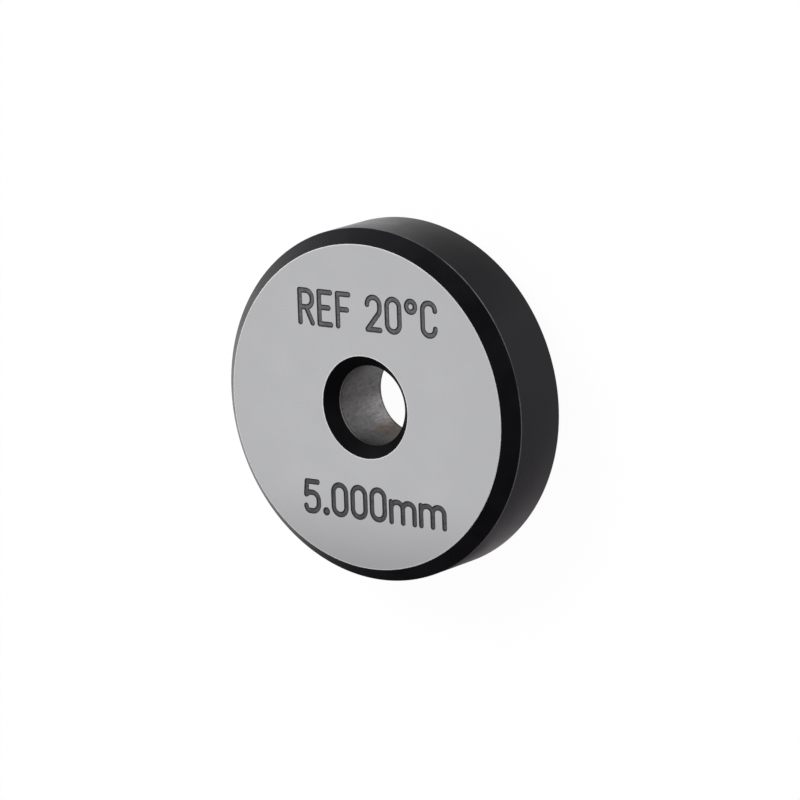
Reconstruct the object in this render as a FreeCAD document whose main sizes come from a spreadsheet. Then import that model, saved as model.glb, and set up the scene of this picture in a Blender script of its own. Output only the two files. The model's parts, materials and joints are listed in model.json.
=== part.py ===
import FreeCAD, Part
import os
import Sketcher

# Setting ring gauge: a short, thick ring of hardened steel. Its bore is lapped to a known
# diameter, and internal measuring instruments are set in it. It is turned from one blank,
# so it is one solid. It lies on its back face: the origin is the centre of that face, and
# +Z is the axis of the bore, pointing out of the marked front face.

NODE = "setting_ring"

# Driving dimensions in millimetres, each with what it measures.
SIZES = (
    ("outside_diameter", 22.0, "across the ground rim"),
    ("thickness", 5.8, "between the two lapped faces"),
    ("bore_diameter", 5.0, "of the lapped bore, the size that the ring stands for"),
    ("rim_chamfer", 0.9, "leg of the 45 degree chamfer between the rim and each face"),
    ("mouth_chamfer", 0.72, "leg of the 45 degree chamfer at each mouth of the bore"),
    ("rim_edge_radius", 0.15, "rounding where the rim meets its chamfers"),
    ("mouth_edge_radius", 0.05, "rounding where the bore meets its chamfers"),
)

# How far an edge may lie from where it is looked for, in millimetres.
PLACE_TOLERANCE = 1e-4


def fill_sheet(doc):
    """The spreadsheet of driving dimensions: name, value and meaning, one row each."""
    sheet = doc.addObject("Spreadsheet::Sheet", "sizes")
    for row, (name, value, meaning) in enumerate(SIZES, start=1):
        sheet.set(f"A{row}", name)
        sheet.set(f"B{row}", str(value))
        sheet.set(f"C{row}", meaning)
        sheet.setAlias(f"B{row}", name)
    doc.recompute()
    return sheet


def circle_sketch(body, sheet, name, diameter):
    """A circle about the ring's axis in the plane of the back face, sized by one cell."""
    plane = next(p for p in body.Origin.OriginFeatures if p.Role == "XY_Plane")
    sketch = body.newObject("Sketcher::SketchObject", name)
    sketch.AttachmentSupport = [(plane, "")]
    sketch.MapMode = "FlatFace"
    across = sheet.get(diameter)
    outline = Part.Circle(FreeCAD.Vector(0, 0, 0), FreeCAD.Vector(0, 0, 1), across / 2)
    circle = sketch.addGeometry(outline)
    # Point 3 of a circle is its centre, and point 1 of the axis -1 is the sketch's origin.
    sketch.addConstraint(Sketcher.Constraint("Coincident", circle, 3, -1, 1))
    width = sketch.addConstraint(Sketcher.Constraint("Diameter", circle, across))
    sketch.renameConstraint(width, "across")
    sketch.setExpression("Constraints.across", f"sizes.{diameter}")
    return sketch


def blank(body, sheet):
    """The turned blank: a plain disc as thick as the ring, standing on its back face."""
    outline = circle_sketch(body, sheet, "blank_outline", "outside_diameter")
    pad = body.newObject("PartDesign::Pad", "blank")
    pad.Profile = outline
    pad.setExpression("Length", "sizes.thickness")
    outline.Visibility = False
    return pad


def bore(body, sheet):
    """The bore, straight through from face to face."""
    outline = circle_sketch(body, sheet, "bore_outline", "bore_diameter")
    pocket = body.newObject("PartDesign::Pocket", "bore")
    pocket.Profile = outline
    pocket.Type = "ThroughAll"
    pocket.Reversed = True
    outline.Visibility = False
    return pocket


def edges_at(shape, radius):
    """Names of the circular edges of one radius about the ring's axis."""
    names = []
    for number, edge in enumerate(shape.Edges, start=1):
        circle = edge.Curve
        if not isinstance(circle, Part.Circle):
            continue
        off_axis = FreeCAD.Vector(circle.Center.x, circle.Center.y, 0).Length
        if off_axis < PLACE_TOLERANCE and abs(circle.Radius - radius) < PLACE_TOLERANCE:
            names.append(f"Edge{number}")
    return names


def finish_edges(body, kind, name, radius, size_property, size):
    """A Chamfer or Fillet on the pair of edges at one radius, one towards each face."""
    base = body.Tip
    edges = edges_at(base.Shape, radius)
    if len(edges) != 2:
        raise RuntimeError(f"{name}: two edges expected, {len(edges)} found")
    feature = body.newObject(f"PartDesign::{kind}", name)
    feature.Base = (base, edges)
    feature.setExpression(size_property, size)
    return feature


def recompute_and_compare(doc, feature, volume_before):
    """Recomputes, makes sure that the feature took material away, and gives the volume."""
    doc.recompute()
    volume = feature.Shape.Volume
    if not volume < volume_before:
        raise RuntimeError(f"{feature.Name} took nothing away")
    return volume


def make_ring(doc, sheet):
    """The ring: blank, bore, chamfers at rim and mouths, then their roundings."""
    body = doc.addObject("PartDesign::Body", "ring_body")
    body.Label = NODE
    body.Placement = FreeCAD.Placement()
    rim_radius = sheet.outside_diameter / 2
    bore_radius = sheet.bore_diameter / 2

    disc = blank(body, sheet)
    doc.recompute()
    volume = recompute_and_compare(doc, bore(body, sheet), disc.Shape.Volume)
    for kind, name, radius, size_property, size in (
        ("Chamfer", "rim_chamfers", rim_radius, "Size", "sizes.rim_chamfer"),
        ("Chamfer", "mouth_chamfers", bore_radius, "Size", "sizes.mouth_chamfer"),
        ("Fillet", "rim_edges", rim_radius, "Radius", "sizes.rim_edge_radius"),
        ("Fillet", "mouth_edges", bore_radius, "Radius", "sizes.mouth_edge_radius"),
    ):
        feature = finish_edges(body, kind, name, radius, size_property, size)
        volume = recompute_and_compare(doc, feature, volume)
    return body


def check(doc):
    """Stops if an object of the document failed or a body is not one valid solid."""
    for item in doc.Objects:
        if "Invalid" in item.State or "Error" in item.State:
            raise RuntimeError(f"{item.Name} failed: {item.State}")
        if item.isDerivedFrom("PartDesign::Body"):
            shape = item.Shape
            if shape.isNull() or not shape.isValid() or len(shape.Solids) != 1:
                raise RuntimeError(f"{item.Label} is not one valid solid")


def export(body):
    """Writes the body to parts/, named after its label, and prints its volume and box."""
    os.makedirs("parts", exist_ok=True)
    body.Shape.exportStep(f"parts/{body.Label}.step")
    box = body.Shape.optimalBoundingBox()
    print(f"{body.Label}: {body.Shape.Volume:.3f} mm3")
    print(f"box {box.XLength:.3f} x {box.YLength:.3f} x {box.ZLength:.3f} mm")


document = FreeCAD.newDocument("setting_ring_gauge")
size_sheet = fill_sheet(document)
ring = make_ring(document, size_sheet)
check(document)
export(ring)
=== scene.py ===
import json
import math

import bpy
from mathutils import Matrix, Vector


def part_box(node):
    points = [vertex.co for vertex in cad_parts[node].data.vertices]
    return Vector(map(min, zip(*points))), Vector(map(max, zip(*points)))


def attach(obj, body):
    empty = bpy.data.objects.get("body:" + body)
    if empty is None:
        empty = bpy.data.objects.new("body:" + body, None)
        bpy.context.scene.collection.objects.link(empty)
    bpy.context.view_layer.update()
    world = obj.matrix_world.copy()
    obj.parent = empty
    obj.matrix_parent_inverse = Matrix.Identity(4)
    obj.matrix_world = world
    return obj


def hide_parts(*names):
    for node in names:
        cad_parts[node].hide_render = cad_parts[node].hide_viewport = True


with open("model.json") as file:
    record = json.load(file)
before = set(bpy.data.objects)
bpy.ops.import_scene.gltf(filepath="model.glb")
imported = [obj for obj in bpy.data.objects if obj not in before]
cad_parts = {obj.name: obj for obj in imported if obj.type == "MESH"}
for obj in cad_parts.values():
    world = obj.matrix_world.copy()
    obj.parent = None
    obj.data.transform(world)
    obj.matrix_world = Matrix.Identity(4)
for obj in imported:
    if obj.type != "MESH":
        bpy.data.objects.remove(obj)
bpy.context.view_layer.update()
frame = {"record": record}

MM = 0.001

# Marking, cut into the front face of the ring.
# A small rotating cutter with a flat tip follows single lines, so every stroke is a shallow
# groove of one width with round ends. The reference temperature stands above the bore and
# the size of the bore below it.

STROKE_WIDTH = 0.355 * MM        # across a groove at the surface of the face
STROKE_FLOOR = 0.180 * MM        # across its flat floor
STROKE_DEPTH = 0.038 * MM
DOT_WIDTH = 0.53 * MM            # the decimal point, drilled with a wider tip

# Shapes of letters: what lies across is in letter breadths, and what goes up in letter heights.
FIGURE = 0.475                   # width of a figure's centre line
ROUND = 0.235                    # radius of a figure's round ends
SMALL = 0.67                     # height of a small letter
ARCH = 0.43                      # from leg to leg of the small m


def closed_round(left, low, right, high, radius):
    """A closed stroke along a box with rounded corners."""
    return [(left, low, radius), (right, low, radius), (right, high, radius), (left, high, radius)]


def arch(left, right, height):
    """A stroke that springs from a stem, turns over and comes down to the base line."""
    turn = (right - left) * 0.47
    return [(left, height * 0.62, 0), (left, height, turn), (right, height, turn), (right, 0, 0)]


# Each letter: the width of its centre lines, its closed strokes and its open strokes. A
# stroke is a list of corners: across, up and the radius there.
LETTERS = {
    "0": (FIGURE, [closed_round(0, 0, FIGURE, 1, ROUND)], []),
    "2": (FIGURE, [], [
        [(0, 0.77, 0), (0, 1, ROUND), (FIGURE, 1, ROUND), (FIGURE, 0.56, 0.26), (0, 0, 0)],
        [(0, 0, 0), (FIGURE, 0, 0)],
    ]),
    "5": (FIGURE, [], [
        [(FIGURE * 0.95, 1, 0), (0.05, 1, 0)],
        [(0.05, 1, 0), (0.01, 0.55, 0)],
        [(0.01, 0.55, 0), (0.12, 0.63, 0.15), (FIGURE, 0.63, ROUND), (FIGURE, 0, ROUND),
         (0, 0, ROUND), (0, 0.16, 0)],
    ]),
    "m": (ARCH * 2, [], [
        [(0, 0, 0), (0, SMALL, 0)],
        arch(0, ARCH, SMALL),
        arch(ARCH, ARCH * 2, SMALL),
    ]),
    "R": (FIGURE, [], [
        [(0, 0, 0), (0, 1, 0)],
        [(0, 1, 0), (FIGURE, 1, ROUND), (FIGURE, 0.48, ROUND), (0, 0.48, 0)],
        [(FIGURE * 0.5, 0.48, 0), (FIGURE, 0, 0)],
    ]),
    "E": (FIGURE * 0.92, [], [
        [(0, 0, 0), (0, 1, 0)],
        [(0, 1, 0), (FIGURE * 0.92, 1, 0)],
        [(0, 0.52, 0), (FIGURE * 0.75, 0.52, 0)],
        [(0, 0, 0), (FIGURE * 0.92, 0, 0)],
    ]),
    "F": (FIGURE * 0.9, [], [
        [(0, 0, 0), (0, 1, 0)],
        [(0, 1, 0), (FIGURE * 0.9, 1, 0)],
        [(0, 0.52, 0), (FIGURE * 0.75, 0.52, 0)],
    ]),
    "C": (FIGURE, [], [
        [(FIGURE, 0.78, 0), (FIGURE, 1, ROUND), (0, 1, ROUND), (0, 0, ROUND),
         (FIGURE, 0, ROUND), (FIGURE, 0.22, 0)],
    ]),
    "°": (0.33, [closed_round(0, 0.67, 0.33, 1, 0.162)], []),
    ".": (0.08, [], []),
    " ": (0.16, [], []),
}


class PathMesh:
    """Points and edges of the cutter's paths, with the corner radius at each point."""

    def __init__(self):
        self.points, self.edges, self.corners, self.dots = [], [], [], []

    def add(self, corners, place, height, breadth, closed):
        first = len(self.points)
        for across, up, radius in corners:
            self.points.append(place + Vector((across * breadth, up * height, 0)))
            self.corners.append(radius * breadth)
            self.dots.append(0.0)
        last = len(self.points) - 1
        self.edges += [(i, i + 1) for i in range(first, last)]
        if closed:
            self.edges.append((last, first))

    def add_dot(self, place):
        self.points.append(place)
        self.corners.append(0.0)
        self.dots.append(1.0)


def mark(paths, words, centre, height, breadth, gap):
    """Adds a line of marking whose outer box is centred on a point of the face."""
    widths = [LETTERS[letter][0] * breadth for letter in words]
    length = sum(widths) + (STROKE_WIDTH + gap) * (len(words) - 1)
    place = centre - Vector((length, height, 0)) / 2
    for letter, width in zip(words, widths):
        closed_strokes, open_strokes = LETTERS[letter][1:]
        for stroke in closed_strokes:
            paths.add(stroke, place, height, breadth, closed=True)
        for stroke in open_strokes:
            paths.add(stroke, place, height, breadth, closed=False)
        if letter == ".":
            rise = (DOT_WIDTH - STROKE_WIDTH) / 2
            paths.add_dot(place + Vector((width / 2, rise, 0)))
        place = place + Vector((width + STROKE_WIDTH + gap, 0, 0))


def new_object(name, data):
    """An object of the scene, at the origin."""
    made = bpy.data.objects.new(name, data)
    bpy.context.scene.collection.objects.link(made)
    return made


ring_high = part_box("setting_ring")[1]
face_height = ring_high.z
cutter_paths = PathMesh()
above_bore = Vector((0.41 * MM, 5.94 * MM, face_height))
below_bore = Vector((0.48 * MM, -6.00 * MM, face_height))
mark(cutter_paths, "REF 20°C", above_bore, height=2.00 * MM, breadth=1.96 * MM, gap=0.19 * MM)
mark(cutter_paths, "5.000mm", below_bore, height=1.86 * MM, breadth=2.03 * MM, gap=0.14 * MM)

ring_mesh = bpy.data.meshes.new("setting_ring_finished")
ring_mesh.from_pydata(cutter_paths.points, cutter_paths.edges, [])
for name, values in (("corner", cutter_paths.corners), ("dot", cutter_paths.dots)):
    ring_mesh.attributes.new(name, "FLOAT", "POINT").data.foreach_set("value", values)
ring = new_object("setting_ring_finished", ring_mesh)


# Ring, one piece of hardened tool steel.
# It is turned with chamfers at the rim and at the mouths of the bore, hardened, blackened all
# over, then ground and lapped bright on both faces and in the bore. The marking is cut last.

mounts = {mount["name"]: mount for mount in frame["record"]["mounts"]}
RIM_RADIUS = ring_high.x
BORE_RADIUS = mounts["bore"]["dims"]["r_mm"] * MM
RIM_CHAMFER = 0.9 * MM
MOUTH_CHAMFER = 0.72 * MM
RIM_EDGE = 0.15 * MM             # rounding between the rim and its chamfers
MOUTH_EDGE = 0.05 * MM           # rounding between the bore and its chamfers
FACE_EDGE = 0.09 * MM            # the lapping plate breaks the edges of the faces
TURN_STEPS = 360                 # one step a degree round the ring
EDGE_STEPS = 6                   # steps round an edge of the ring
STROKE_STEPS = 10                # steps round a bend of the marking
PLUNGE_SIDES = 32                # steps round the cutter where it goes in or comes out
PLUNGE_SPREAD = 1.012            # a plunge comes out a hair wider than a stroke
# The rubbed band also carries painted highlights on the right of the rim.
RUBBED_SHARE = 0.12              # share of the rim's rounding where the black is thin
STRAY = 0.001                    # how far a surface's slope may be off a flat, wall or cone
SHARP_BEND = math.radians(20)    # shading stops at a bend sharper than this


class Wire:
    """A socket of a node tree. Arithmetic on it adds Math nodes to the tree."""

    def __init__(self, tree, socket):
        self.tree, self.socket = tree, socket

    def other(self, name):
        """Another output of the same node."""
        return Wire(self.tree, self.socket.node.outputs[name])

    def maths(self, operation, first, second):
        settings = {"operation": operation}
        return self.tree.add("ShaderNodeMath", settings, {0: first, 1: second})

    def __add__(self, value):
        return self.maths("ADD", self, value)

    __radd__ = __add__

    def __sub__(self, value):
        return self.maths("SUBTRACT", self, value)

    def __rsub__(self, value):
        return self.maths("SUBTRACT", value, self)

    def __mul__(self, value):
        return self.maths("MULTIPLY", self, value)

    __rmul__ = __mul__

    def __truediv__(self, value):
        return self.maths("DIVIDE", self, value)

    def __pow__(self, value):
        return self.maths("POWER", self, value)

    def __gt__(self, value):
        return self.maths("GREATER_THAN", self, value)

    def __lt__(self, value):
        return self.maths("LESS_THAN", self, value)

    def __abs__(self):
        return self.maths("ABSOLUTE", self, 0.0)


class Tree:
    """Adds nodes to a node tree."""

    def __init__(self, tree):
        self.tree = tree

    def add(self, kind, settings=None, inputs=None, output=0):
        """One node: its settings, then the values or links of its sockets."""
        node = self.tree.nodes.new(kind)
        for name, value in (settings or {}).items():
            if name == "items":
                while len(node.index_switch_items) < value:
                    node.index_switch_items.new()
            else:
                setattr(node, name, value)
        for name, value in (inputs or {}).items():
            socket = node.inputs[name]
            for one in value if isinstance(value, list) else [value]:
                if isinstance(one, Wire):
                    self.tree.links.new(one.socket, socket)
                else:
                    socket.default_value = one
        return Wire(self, node.outputs[output]) if len(node.outputs) else None

    def vector(self, x, y, z):
        return self.add("ShaderNodeCombineXYZ", {}, {0: x, 1: y, 2: z})

    def parts(self, vector):
        """The X, Y and Z of a vector."""
        x = self.add("ShaderNodeSeparateXYZ", {}, {0: vector})
        return x, x.other("Y"), x.other("Z")

    def dot(self, vector, direction):
        """How far a vector reaches in a direction."""
        inputs = {0: vector, 1: direction}
        return self.add("ShaderNodeVectorMath", {"operation": "DOT_PRODUCT"}, inputs, "Value")

    def mix(self, share, first, second):
        """A colour between two colours."""
        inputs = {0: share, 6: (*first, 1) if isinstance(first, tuple) else first,
                  7: (*second, 1) if isinstance(second, tuple) else second}
        return self.add("ShaderNodeMix", {"data_type": "RGBA"}, inputs, 2)


class ShapeTree(Tree):
    """A Geometry Nodes tree with named inputs for its sizes."""

    def __init__(self, name, sizes):
        super().__init__(bpy.data.node_groups.new(name, "GeometryNodeTree"))
        sockets = self.tree.interface
        sockets.new_socket("Geometry", in_out="OUTPUT", socket_type="NodeSocketGeometry")
        sockets.new_socket("Geometry", in_out="INPUT", socket_type="NodeSocketGeometry")
        self.identifiers = {}
        for size_name in sizes:
            socket = sockets.new_socket(size_name, in_out="INPUT", socket_type="NodeSocketFloat")
            self.identifiers[size_name] = socket.identifier
        self.given = self.tree.nodes.new("NodeGroupInput")

    def size(self, name):
        return Wire(self, self.given.outputs[name])

    def finish(self, geometry):
        end = self.tree.nodes.new("NodeGroupOutput")
        self.tree.links.new(geometry.socket, end.inputs[0])

    def named(self, name):
        return self.add("GeometryNodeInputNamedAttribute", {"data_type": "FLOAT"}, {"Name": name})

    def store(self, geometry, name, value, domain):
        settings = {"data_type": "FLOAT", "domain": domain}
        inputs = {"Geometry": geometry, "Name": name, "Value": value}
        return self.add("GeometryNodeStoreNamedAttribute", settings, inputs)

    def pick(self, data_type, values):
        """One value of a list for each point, by the point's number."""
        index = self.add("GeometryNodeInputIndex")
        settings = {"data_type": data_type, "items": len(values)}
        inputs = {"Index": index} | {str(i): value for i, value in enumerate(values)}
        return self.add("GeometryNodeIndexSwitch", settings, inputs)

    def outline(self, corners, steps):
        """A closed curve through corners (x, y, radius of the rounding there)."""
        ring = self.add("GeometryNodeMeshCircle", {}, {"Vertices": len(corners)})
        places = [self.vector(x, y, 0.0) for x, y, _ in corners]
        place = self.pick("VECTOR", places)
        moved = self.add("GeometryNodeSetPosition", {}, {"Geometry": ring, "Position": place})
        radius = self.pick("FLOAT", [radius for _, _, radius in corners])
        return self.round_corners(self.store(moved, "corner", radius, "POINT"), steps)

    def round_corners(self, mesh, steps):
        """The curve along a mesh's edges, rounded by the corner radius of each point."""
        curve = self.add("GeometryNodeMeshToCurve", {}, {"Mesh": mesh})
        inputs = {"Curve": curve, "Count": steps, "Radius": self.named("corner"),
                  "Limit Radius": True}
        return self.add("GeometryNodeFilletCurve", {"mode": "POLY"}, inputs)

    def sweep(self, path, profile, capped):
        """A profile carried along a flat path, with its X to the path's right and its Y up."""
        upright = self.add("GeometryNodeSetCurveNormal", {"mode": "Z_UP"}, {"Curve": path})
        # Curve to Mesh carries Y downwards, so the profile is turned over and run backwards.
        inputs = {"Geometry": profile, "Rotation": (math.pi, 0, 0)}
        turned_over = self.add("GeometryNodeTransform", {}, inputs)
        backwards = self.add("GeometryNodeReverseCurve", {}, {"Curve": turned_over})
        inputs = {"Curve": upright, "Profile Curve": backwards, "Fill Caps": capped}
        return self.add("GeometryNodeCurveToMesh", {}, inputs)


def turned_ring(tree):
    """The ring as it comes from the lathe and the grinder: a section carried round."""
    rim, bore = tree.size("Rim Radius"), tree.size("Bore Radius")
    thick = tree.size("Thickness")
    rim_chamfer, mouth_chamfer = tree.size("Rim Chamfer"), tree.size("Mouth Chamfer")
    rim_edge, mouth_edge = tree.size("Rim Edge"), tree.size("Mouth Edge")
    face_edge = tree.size("Face Edge")
    face_rim, face_mouth = rim - rim_chamfer, bore + mouth_chamfer
    corners = [
        (face_mouth, 0.0, face_edge),
        (face_rim, 0.0, face_edge),
        (rim, rim_chamfer, rim_edge),
        (rim, thick - rim_chamfer, rim_edge),
        (face_rim, thick, face_edge),
        (face_mouth, thick, face_edge),
        (bore, thick - mouth_chamfer, mouth_edge),
        (bore, mouth_chamfer, mouth_edge),
    ]
    # The path is a circle of any size; the section's places are counted from it.
    turning_radius = 1 * MM
    corners = [(x - turning_radius, y, edge) for x, y, edge in corners]
    section = tree.outline(corners, EDGE_STEPS)
    inputs = {"Resolution": TURN_STEPS, "Radius": turning_radius}
    turn = tree.add("GeometryNodeCurvePrimitiveCircle", {"mode": "RADIUS"}, inputs)
    return tree.sweep(turn, section, False)


def cutter_sweeps(tree, paths):
    """What the cutter takes away: a sweep for each stroke and a plunge at each end."""
    width, floor = tree.size("Stroke Width"), tree.size("Stroke Floor")
    depth = tree.size("Stroke Depth")
    above = depth / 2                  # how far the cutter reaches out of the face
    slope = (width - floor) / (2 * depth)
    top = width + 2 * above * slope
    settings = {"mode": "TRAPEZOID"}
    inputs = {"Height": depth + above, "Bottom Width": floor, "Top Width": top, "Offset": 0.0}
    profile = tree.add("GeometryNodeCurvePrimitiveQuadrilateral", settings, inputs)
    drop = tree.vector(0.0, (above - depth) / 2, 0.0)
    profile = tree.add("GeometryNodeSetPosition", {}, {"Geometry": profile, "Offset": drop})
    sweeps = tree.sweep(tree.round_corners(paths, STROKE_STEPS), profile, True)
    sweeps = tree.store(sweeps, "cut", 1.0, "FACE")
    island = tree.add("GeometryNodeInputMeshIsland")
    inputs = {"Geometry": sweeps, "Group ID": island}
    sweeps = tree.add("GeometryNodeSplitToInstances", {"domain": "FACE"}, inputs)

    inputs = {"Vertices": PLUNGE_SIDES, "Radius Top": top / 2, "Radius Bottom": floor / 2,
              "Depth": depth + above}
    plunge = tree.add("GeometryNodeMeshCone", {}, inputs)
    drop = tree.vector(0.0, 0.0, 0.0 - depth)
    plunge = tree.add("GeometryNodeSetPosition", {}, {"Geometry": plunge, "Offset": drop})
    plunge = tree.store(plunge, "cut", 1.0, "FACE")
    spread = PLUNGE_SPREAD + tree.named("dot") * (tree.size("Dot Width") / width - 1)
    not_rounded = tree.named("corner") < 1e-9
    inputs = {"Points": paths, "Selection": not_rounded, "Instance": plunge,
              "Scale": tree.vector(spread, spread, 1.0)}
    plunges = tree.add("GeometryNodeInstanceOnPoints", {}, inputs)
    return [sweeps, plunges]


def finish_surfaces(tree, ring, finishes):
    """Gives each surface of the ring its finish and keeps flat surfaces flat to the eye."""
    rim, bore = tree.size("Rim Radius"), tree.size("Bore Radius")
    mouth_radius = bore + tree.size("Mouth Chamfer")
    half_thick = tree.size("Thickness") / 2
    x, y, z = tree.parts(tree.add("GeometryNodeInputPosition"))
    _, _, up = tree.parts(tree.add("GeometryNodeInputNormal").other("True Normal"))
    radius = (x * x + y * y) ** 0.5
    flat = abs(up) > 1 - STRAY
    upright = abs(up) < STRAY
    sloped = abs(abs(up) - math.sqrt(0.5)) < STRAY
    rounded = 1 - flat - upright - sloped
    cut = tree.named("cut") > 0.5
    face_edge = rounded * (abs(z - half_thick) > half_thick - tree.size("Face Edge"))
    rubbed = radius > rim - tree.size("Rim Edge") * RUBBED_SHARE
    rim_edge = rounded * rubbed * (z > half_thick)
    in_bore = radius < bore + tree.size("Mouth Edge") * 0.5
    in_mouth = (radius < mouth_radius) * (1 - in_bore) * (1 - face_edge)

    # Finishes by number: 0 black, 1 lapped face, 2 lapped bore, 3 edge of a face, 4 edge of
    # the rim, 5 floor and 6 wall of the marking, 7 mouth of the bore.
    number = flat + in_bore * 2 + face_edge * 3 + rim_edge * 4 + in_mouth * 7
    number = (1 - cut) * number + cut * (6 - flat)
    ring = tree.store(ring, "finish", number, "FACE")

    # Shading runs smoothly over the roundings and stops where a flat, a wall or a cone begins.
    surface = flat + upright * 2 + sloped * 3 + cut * 4
    border = tree.add("GeometryNodeMeshFaceSetBoundaries", {}, {0: surface})
    bent = tree.add("GeometryNodeInputMeshEdgeAngle") > SHARP_BEND
    inputs = {"Geometry": ring, "Shade Smooth": True}
    ring = tree.add("GeometryNodeSetShadeSmooth", {"domain": "FACE"}, inputs)
    inputs = {"Geometry": ring, "Selection": (border + bent) > 0.5, "Shade Smooth": False}
    ring = tree.add("GeometryNodeSetShadeSmooth", {"domain": "EDGE"}, inputs)

    ring = tree.add("GeometryNodeRealizeInstances", {}, {"Geometry": ring})
    for number, material in enumerate(finishes):
        chosen = abs(tree.named("finish") - number) < 0.5
        inputs = {"Geometry": ring, "Selection": chosen, "Material": material}
        ring = tree.add("GeometryNodeSetMaterial", {}, inputs)
    return ring


class Finish(Tree):
    """A material: a Principled surface whose textures read places on the piece, in mm."""

    def __init__(self, name, settings):
        self.material = bpy.data.materials.new(name)
        self.material.use_nodes = True
        super().__init__(self.material.node_tree)
        self.surface = self.tree.nodes["Principled BSDF"]
        for socket, value in settings.items():
            self.surface.inputs[socket].default_value = value
        place = self.add("ShaderNodeTexCoord", {}, {}, "Object")
        self.place = self.scaled(place, (1 / MM, 1 / MM, 1 / MM))

    def scaled(self, vector, scale):
        inputs = {0: vector, 1: scale}
        return self.add("ShaderNodeVectorMath", {"operation": "MULTIPLY"}, inputs)

    def noise(self, vector, scale, detail=2.0, roughness=0.5):
        inputs = {"Vector": vector, "Scale": scale, "Detail": detail, "Roughness": roughness}
        return self.add("ShaderNodeTexNoise", {}, inputs)

    def between(self, value, low, high, to_low=0.0, to_high=1.0):
        """Spreads the part of a value between two levels over another span."""
        inputs = {0: value, 1: low, 2: high, 3: to_low, 4: to_high}
        return self.add("ShaderNodeMapRange", {"clamp": True}, inputs)

    def along(self, turn):
        """How far, in mm, a place lies from the axis towards an angle in degrees."""
        angle = math.radians(turn)
        return self.dot(self.place, (math.cos(angle), math.sin(angle), 0))

    def beside(self, turn, radius):
        """On a circle round the axis: 1 at an angle in degrees, and -1 across from it."""
        return self.along(turn) / radius

    def bump(self, height, depth):
        """Relief of the surface; depth is the height of the relief in metres."""
        inputs = {"Strength": 1.0, "Distance": depth, "Height": height}
        return self.add("ShaderNodeBump", {}, inputs)

    def set(self, socket, wire):
        self.tree.links.new(wire.socket, self.surface.inputs[socket])


def black_oxide(name, ior, deep, pale):
    """Blackened steel: nearly black, satin, with fine lines round it from the grinding."""
    finish = Finish(name, {"Metallic": 0.0, "IOR": ior, "Specular Tint": (1.0, 0.96, 1.08, 1)})
    lines = finish.noise(finish.scaled(finish.place, (0.5, 0.5, 26.0)), 1.0, 4.0, 0.6)
    cloud = finish.noise(finish.place, 0.55, 3.0, 0.55)
    colour = finish.mix(finish.between(cloud, 0.35, 0.65), deep, pale)
    finish.set("Base Color", colour)
    finish.set("Roughness", finish.between(lines + cloud, 0.7, 1.3, 0.25, 0.36))
    finish.set("Normal", finish.bump(lines, 0.0006 * MM))
    return finish.material


def lapped_steel():
    """The lapped faces: bright and even, with a fine haze and hair-fine crossing scratches. Their
    colour is painted darker towards the lower side, a painted shade, and a little darker towards
    the rim.
    """
    finish = Finish("lapped_steel", {"Metallic": 0.5})
    haze = finish.noise(finish.place, 0.35, 4.0, 0.6)
    scratches = 0.0
    for turn in (12, 57, 101, 148):
        length, width = finish.along(turn) * 0.4, finish.along(turn + 90) * 9.0
        grain = finish.noise(finish.vector(length, width, turn), 1.0, 2.0, 0.5)
        scratches = finish.between(grain, 0.60, 0.72) + scratches
    x, y, _ = finish.parts(finish.place)
    outer = finish.between((x * x + y * y) ** 0.5, 7.0, 9.5)
    # Painted shade: the face is painted darker towards its lower side, and a little towards the
    # rim.
    painted_shade_low_and_rim = finish.between(y, -5.0, -10.2) ** 1.5 + outer * 0.08
    colour = finish.mix(finish.between(haze, 0.35, 0.65), (0.524, 0.525, 0.538),
                        (0.542, 0.543, 0.555))
    colour = finish.mix(painted_shade_low_and_rim, colour, (0.382, 0.382, 0.393))
    finish.set("Base Color", colour)
    finish.set("Roughness", finish.between(haze, 0.3, 0.7, 0.255, 0.275) + scratches * 0.01)
    finish.set("Normal", finish.bump(scratches, 0.00004 * MM))
    return finish.material


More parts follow.
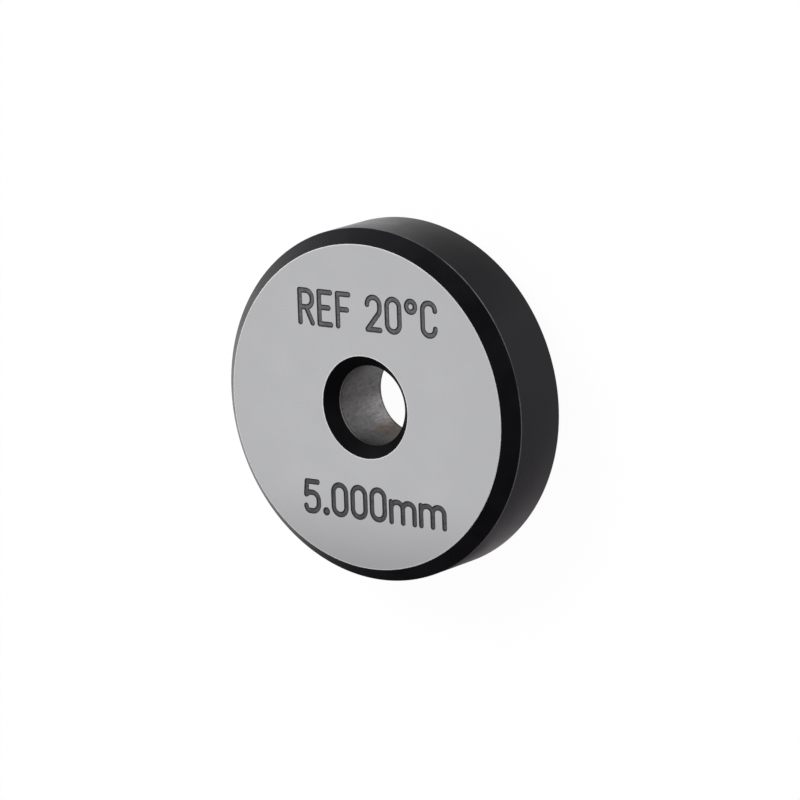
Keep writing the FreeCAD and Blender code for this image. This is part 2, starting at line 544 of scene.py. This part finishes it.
def lapped_bore():
    """The wall of the bore: lapped along its axis, with streaks, mottling and a brown stain of old
    oil at one side. Its colour is painted brighter towards the back and at one side, a painted
    reflection, with a painted highlight line near the front and painted shade at both ends."""
    finish = Finish("lapped_bore", {"Metallic": 1.0})
    _, _, z = finish.parts(finish.place)
    radius = BORE_RADIUS / MM
    streaks = finish.noise(finish.scaled(finish.place, (4.0, 4.0, 0.8)), 1.5, 4.0, 0.62)
    mottle = finish.noise(finish.place, 3.2, 4.0, 0.6)
    # Painted light: the wall is painted brighter towards the back and at one side, a painted
    # reflection, and brightest on the back part of that side, a painted highlight.
    painted_light_towards_back = finish.between(z, 5.0, 0.9)
    painted_sheen_one_side = finish.between(finish.beside(213, radius), 0.82, 0.995)
    painted_highlight_back = finish.between(finish.beside(211, radius), 0.88, 0.995) * painted_light_towards_back ** 3
    near_lip = finish.between(z, 4.0, 4.7)
    # Painted highlight line near the front, with painted shade beside it, at the front edge and at
    # the back end.
    painted_shade_front_edge = finish.between(z, 5.00, 5.03)
    painted_highlight_line = finish.between(z, 4.93, 4.96)
    painted_shade_by_line = finish.between(abs(z - 4.86), 0.09, 0.04)
    painted_shade_back_edge = finish.between(z, 0.92, 0.84)
    brown = finish.between(finish.beside(249, radius), 0.90, 0.98) * finish.between(z, 3.5, 2.5)
    specks = finish.between(finish.noise(finish.place, 7.0, 2.0, 0.5), 0.58, 0.66) * brown
    # The wall's tone with painted light in it; the streaks, the mottle and the specks of the stain
    # are its own.
    tone_and_painted_light = 0.138 + painted_light_towards_back * 0.18 + painted_sheen_one_side * (0.14 + near_lip * 0.05) + painted_highlight_back * 0.29
    wear = streaks * 1.25 + mottle * 1.05 - 1.15
    tone_and_painted_light = tone_and_painted_light * (1 + wear + painted_highlight_line * 0.9 - painted_shade_by_line * 0.3 - painted_shade_back_edge * 0.5 - specks * 0.35)
    tone_and_painted_light = tone_and_painted_light * (1 - painted_shade_front_edge * 0.9)
    tint = finish.mix(brown, (1.0, 0.978, 0.988), (0.92, 0.80, 0.68))
    finish.set("Base Color", finish.mix(tone_and_painted_light, (0.0, 0.0, 0.0), tint))
    finish.set("Roughness", finish.between(streaks, 0.3, 0.7, 0.30, 0.44))
    finish.set("Normal", finish.bump(streaks, 0.002 * MM))
    return finish.material


def bright_edge():
    """The edges of the faces, where lapping has just taken the black away, with a painted highlight
    round the upper side of the mouth.
    """
    finish = Finish("bright_edge", {"Metallic": 0.1})
    nicks = finish.noise(finish.place, 3.0, 3.0, 0.6)
    x, y, _ = finish.parts(finish.place)
    at_mouth = finish.between((x * x + y * y) ** 0.5, 5.0, 4.0)
    mouth_radius = 3.2
    upper = finish.between(finish.beside(105, mouth_radius), -0.6, 0.0)
    colour = finish.mix(finish.between(nicks, 0.35, 0.65), (0.57, 0.57, 0.575), (0.63, 0.63, 0.635))
    # Painted highlight: the mouth's edge is painted lighter on its upper side.
    colour = finish.mix(at_mouth * upper, colour, (0.80, 0.80, 0.81))
    finish.set("Base Color", colour)
    finish.set("Roughness", finish.between(nicks, 0.3, 0.7, 0.58, 0.66))
    return finish.material


def thinned_black():
    """The edges of the rim, where handling has rubbed the black thin and a little grey. Two places
    on the right are painted lighter: painted highlights."""
    finish = Finish("thinned_black", {"Metallic": 0.0, "IOR": 1.35})
    radius = RIM_RADIUS / MM
    rubbed = finish.noise(finish.place, 0.9, 4.0, 0.6)
    # Painted highlights: two places on the right of the rim's edge are painted lighter.
    painted_highlight_upper_right = finish.between(finish.beside(42, radius), 0.93, 0.99)
    painted_highlight_upper_right = painted_highlight_upper_right * finish.between(rubbed, 0.3, 0.6)
    painted_highlight_lower_right = finish.between(finish.beside(-25, radius), 0.80, 0.97)
    colour = finish.mix(finish.between(rubbed, 0.40, 0.62), (0.044, 0.041, 0.045),
                        (0.100, 0.095, 0.100))
    colour = finish.mix(painted_highlight_lower_right * 0.8, colour, (0.16, 0.153, 0.16))
    colour = finish.mix(painted_highlight_upper_right, colour, (0.19, 0.185, 0.19))
    finish.set("Base Color", colour)
    finish.set("Roughness", finish.between(rubbed, 0.3, 0.7, 0.30, 0.45))
    return finish.material


def cut_floor():
    """The floor of the marking: torn a little by the cutter, dull grey, and darker in the lower
    line."""
    finish = Finish("marking_floor", {"Metallic": 0.3})
    grain = finish.noise(finish.place, 4.0, 4.0, 0.7)
    _, y, _ = finish.parts(finish.place)
    towards_upper_line = finish.between(y, -2.0, 2.0)
    colour = finish.mix(finish.between(grain, 0.35, 0.65),
                        finish.mix(towards_upper_line, (0.044, 0.044, 0.046), (0.078, 0.078, 0.080)),
                        finish.mix(towards_upper_line, (0.100, 0.100, 0.103), (0.160, 0.160, 0.164)))
    finish.set("Base Color", colour)
    finish.set("Roughness", finish.between(grain, 0.3, 0.7, 0.50, 0.62))
    finish.set("Normal", finish.bump(grain, 0.006 * MM))
    return finish.material


def cut_wall():
    """The sloping walls of the marking, painted darker than its floor: painted shade in the
    grooves.
    """
    finish = Finish("marking_wall", {"Metallic": 0.0, "IOR": 1.3})
    grain = finish.noise(finish.place, 7.0, 3.0, 0.6)
    # Painted shade: the walls' dark colour stands in for shade in the grooves.
    colour = finish.mix(finish.between(grain, 0.3, 0.7), (0.018, 0.018, 0.019),
                        (0.042, 0.042, 0.044))
    finish.set("Base Color", colour)
    finish.set("Roughness", finish.between(grain, 0.3, 0.7, 0.45, 0.60))
    return finish.material


ring_sizes = {
    "Rim Radius": RIM_RADIUS,
    "Bore Radius": BORE_RADIUS,
    "Thickness": face_height,
    "Rim Chamfer": RIM_CHAMFER,
    "Mouth Chamfer": MOUTH_CHAMFER,
    "Rim Edge": RIM_EDGE,
    "Mouth Edge": MOUTH_EDGE,
    "Face Edge": FACE_EDGE,
    "Stroke Width": STROKE_WIDTH,
    "Stroke Floor": STROKE_FLOOR,
    "Stroke Depth": STROKE_DEPTH,
    "Dot Width": DOT_WIDTH,
}
finishes = [
    black_oxide("black_oxide", 1.23, (0.0044, 0.0040, 0.0050), (0.0070, 0.0064, 0.0082)),
    lapped_steel(),
    lapped_bore(),
    bright_edge(),
    thinned_black(),
    cut_floor(),
    cut_wall(),
    # The mouths of the bore get a copy of the black oxide that reflects less: a shaded copy,
    # painted shade.
    black_oxide("mouth_black", 1.14, (0.0046, 0.0043, 0.0050), (0.0070, 0.0066, 0.0076)),
]
tree = ShapeTree("marked_ring", ring_sizes)
paths = tree.size("Geometry")
body = turned_ring(tree)
cutters = cutter_sweeps(tree, paths)
marked = tree.add(
    "GeometryNodeMeshBoolean",
    {"operation": "DIFFERENCE", "solver": "MANIFOLD"},
    {"Mesh 1": body, "Mesh 2": cutters},
)
tree.finish(finish_surfaces(tree, marked, finishes))

maker = ring.modifiers.new("marked_ring", "NODES")
maker.node_group = tree.tree
for name, value in ring_sizes.items():
    maker[tree.identifiers[name]] = value
evaluated = ring.evaluated_get(bpy.context.evaluated_depsgraph_get())
finished = bpy.data.meshes.new_from_object(evaluated)
ring.modifiers.remove(maker)
ring.data = finished
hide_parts("setting_ring")
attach(ring, "root")


# Floor: a plain white table top, large enough to fill any view from above.
# It looks white to the camera, and a small part of it is lit by the lamp and the tent, so the
# ring keeps its soft shadow.

FLOOR_RADIUS = 0.6
FLOOR_DROP = 0.002 * MM          # keeps the floor from lying in the plane of the back face
FLOOR_SIDES = 96
FLOOR_WHITE = 0.90               # how much of the lamp's light it gives back
PLAIN_WHITE = 0.97               # how much of the floor's look is plain white to the eye
PLAIN_BELOW = 0.30               # and in the bore's reflections, which show its real shadow


def bare_tree(owner):
    """The node tree of a material or a world, emptied."""
    owner.use_nodes = True
    owner.node_tree.nodes.clear()
    return Tree(owner.node_tree)


def lobe(nodes, direction, azimuth, polar, inner, outer, falling="SMOOTHSTEP"):
    """1 near one direction, falling to 0 further from it; angles in degrees."""
    a, p = math.radians(azimuth), math.radians(polar)
    centre = (math.sin(p) * math.cos(a), math.sin(p) * math.sin(a), math.cos(p))
    near = nodes.dot(direction, centre)
    inputs = {0: near, 1: math.cos(math.radians(outer)), 2: math.cos(math.radians(inner))}
    return nodes.add("ShaderNodeMapRange", {"interpolation_type": falling}, inputs)


def table_top():
    """White to the camera. The rim and the chamfers mirror it with painted shade that only
    reflections show: painted darker and a little warm in front of the ring, with a lighter painted
    shade to the right of it. Both are deeper further away."""
    material = bpy.data.materials.new("white_table")
    nodes = bare_tree(material)
    x, y, _ = nodes.parts(nodes.add("ShaderNodeTexCoord", {}, {}, "Object"))
    reach = (x * x + y * y) ** 0.5 + 1e-6
    outwards = nodes.vector(x / reach, y / reach, 0.0)

    def past(near, far):
        """0 nearer to the axis than one distance in mm, rising to 1 at the other."""
        return nodes.add("ShaderNodeMapRange", {}, {0: reach, 1: near * MM, 2: far * MM})

    in_front = lobe(nodes, outwards, -76, 90, 30, 88, "LINEAR")
    nearest = lobe(nodes, outwards, -82, 90, 8, 30)
    darkest = lobe(nodes, outwards, -84, 90, 38, 64)
    to_the_right = lobe(nodes, outwards, 68, 90, 6, 34, "LINEAR")
    # Painted shade in the floor's mirror image, by direction and distance from the ring.
    shade = in_front * (0.24 + past(11.3, 12.9) * 0.43) + nearest * 0.26
    shade = shade + darkest * past(14, 18) * 0.36
    shade = shade + to_the_right * (0.34 + past(11.3, 12.3) * 0.18)
    beside = past(8.0, 10.5)
    seen = nodes.add("ShaderNodeLightPath", {}, {}, "Is Camera Ray")
    through = seen.other("Is Transmission Ray")
    mirrored = seen.other("Is Glossy Ray")
    white = (FLOOR_WHITE, FLOOR_WHITE, FLOOR_WHITE, 1)
    lit = nodes.add("ShaderNodeBsdfDiffuse", {}, {"Color": white})
    level = nodes.add("ShaderNodeClamp", {}, {0: 1 - shade * beside * mirrored, 1: 0.04, 2: 1.0})
    # Painted warm tint in the mirrored shade in front of the ring.
    colour = nodes.mix(in_front * mirrored, (1, 1, 1), (1.02, 0.96, 0.995))
    plain = nodes.add("ShaderNodeEmission", {}, {"Color": colour, "Strength": level})
    share = (seen + through) * PLAIN_WHITE
    share = share + mirrored * (PLAIN_BELOW + beside * (1 - PLAIN_BELOW))
    mixed = nodes.add("ShaderNodeMixShader", {}, {0: share, 1: lit, 2: plain})
    nodes.add("ShaderNodeOutputMaterial", {}, {"Surface": mixed})
    return material


floor_mesh = bpy.data.meshes.new("table")
edge_points = []
for side in range(FLOOR_SIDES):
    turn = math.tau * side / FLOOR_SIDES
    outwards = Vector((math.cos(turn), math.sin(turn), 0))
    edge_points.append(outwards * FLOOR_RADIUS - Vector((0, 0, FLOOR_DROP)))
floor_mesh.from_pydata(edge_points, [], [tuple(range(FLOOR_SIDES))])
floor_mesh.materials.append(table_top())
floor = new_object("table", floor_mesh)


# Studio: a white tent round the table, darker behind the camera, and one wide soft lamp.
# The dark parts of the tent are what makes the near sides of the chamfers look black. The lamp
# shines through the cloth, so bright steel shows no image of the lamp itself.

TENT_WHITE = 0.92
TENT_DARKEST = 0.06
LAMP_WIDTH = 0.26                # m
LAMP_POWER = 2.9                 # W
LAMP_PLACE = Vector((-0.21, 0.31, 0.44))

world = bpy.data.worlds.new("studio")
sky = bare_tree(world)
direction = sky.add("ShaderNodeTexCoord", {}, {}, "Generated")
camera_side = lobe(sky, direction, 38, 50, 18, 75)
low_side = lobe(sky, direction, -78, 80, 24, 70)
level = TENT_WHITE - camera_side * 0.72 - low_side * 0.73
level = sky.add("ShaderNodeClamp", {}, {0: level, 1: TENT_DARKEST, 2: 1.0})
tent = sky.add("ShaderNodeBackground", {}, {"Strength": level})
sky.add("ShaderNodeOutputWorld", {}, {"Surface": tent})
bpy.context.scene.world = world

lamp_data = bpy.data.lights.new("soft_lamp", "AREA")
lamp_data.shape = "DISK"
lamp_data.size = LAMP_WIDTH
lamp_data.energy = LAMP_POWER
lamp = new_object("soft_lamp", lamp_data)
lamp.location = LAMP_PLACE
lamp.rotation_euler = (-LAMP_PLACE).to_track_quat("-Z", "Y").to_euler()
lamp.visible_glossy = False


# Camera: a long lens that looks down on the lying ring from its right, a third of a metre off.
# It is rolled over, so that in the picture the ring stands upright and its marking reads level.

SENSOR_WIDTH = 36.0              # mm
LENS = 247.8                     # mm
NEAREST_SEEN = 0.01              # m
FURTHEST_SEEN = 5.0              # m
VIEW_AZIMUTH = math.radians(19.83)
VIEW_TILT = math.radians(38.13)  # from the axis of the ring
VIEW_ROLL = math.radians(-107.79)
FACE_IN_VIEW = Vector((-2.144, -0.478, -335.740)) * MM   # the face's centre, seen from the lens

camera_data = bpy.data.cameras.new("camera")
camera_data.sensor_width = SENSOR_WIDTH
camera_data.lens = LENS
camera_data.clip_start = NEAREST_SEEN
camera_data.clip_end = FURTHEST_SEEN
camera = new_object("camera", camera_data)
turned = (
    Matrix.Rotation(VIEW_AZIMUTH + math.pi / 2, 4, "Z")
    @ Matrix.Rotation(VIEW_TILT, 4, "X")
    @ Matrix.Rotation(VIEW_ROLL, 4, "Z")
)
face_centre = Vector((0, 0, face_height))
camera.matrix_world = Matrix.Translation(face_centre - turned @ FACE_IN_VIEW) @ turned
bpy.context.scene.camera = camera
bpy.context.scene.view_settings.view_transform = "Standard"
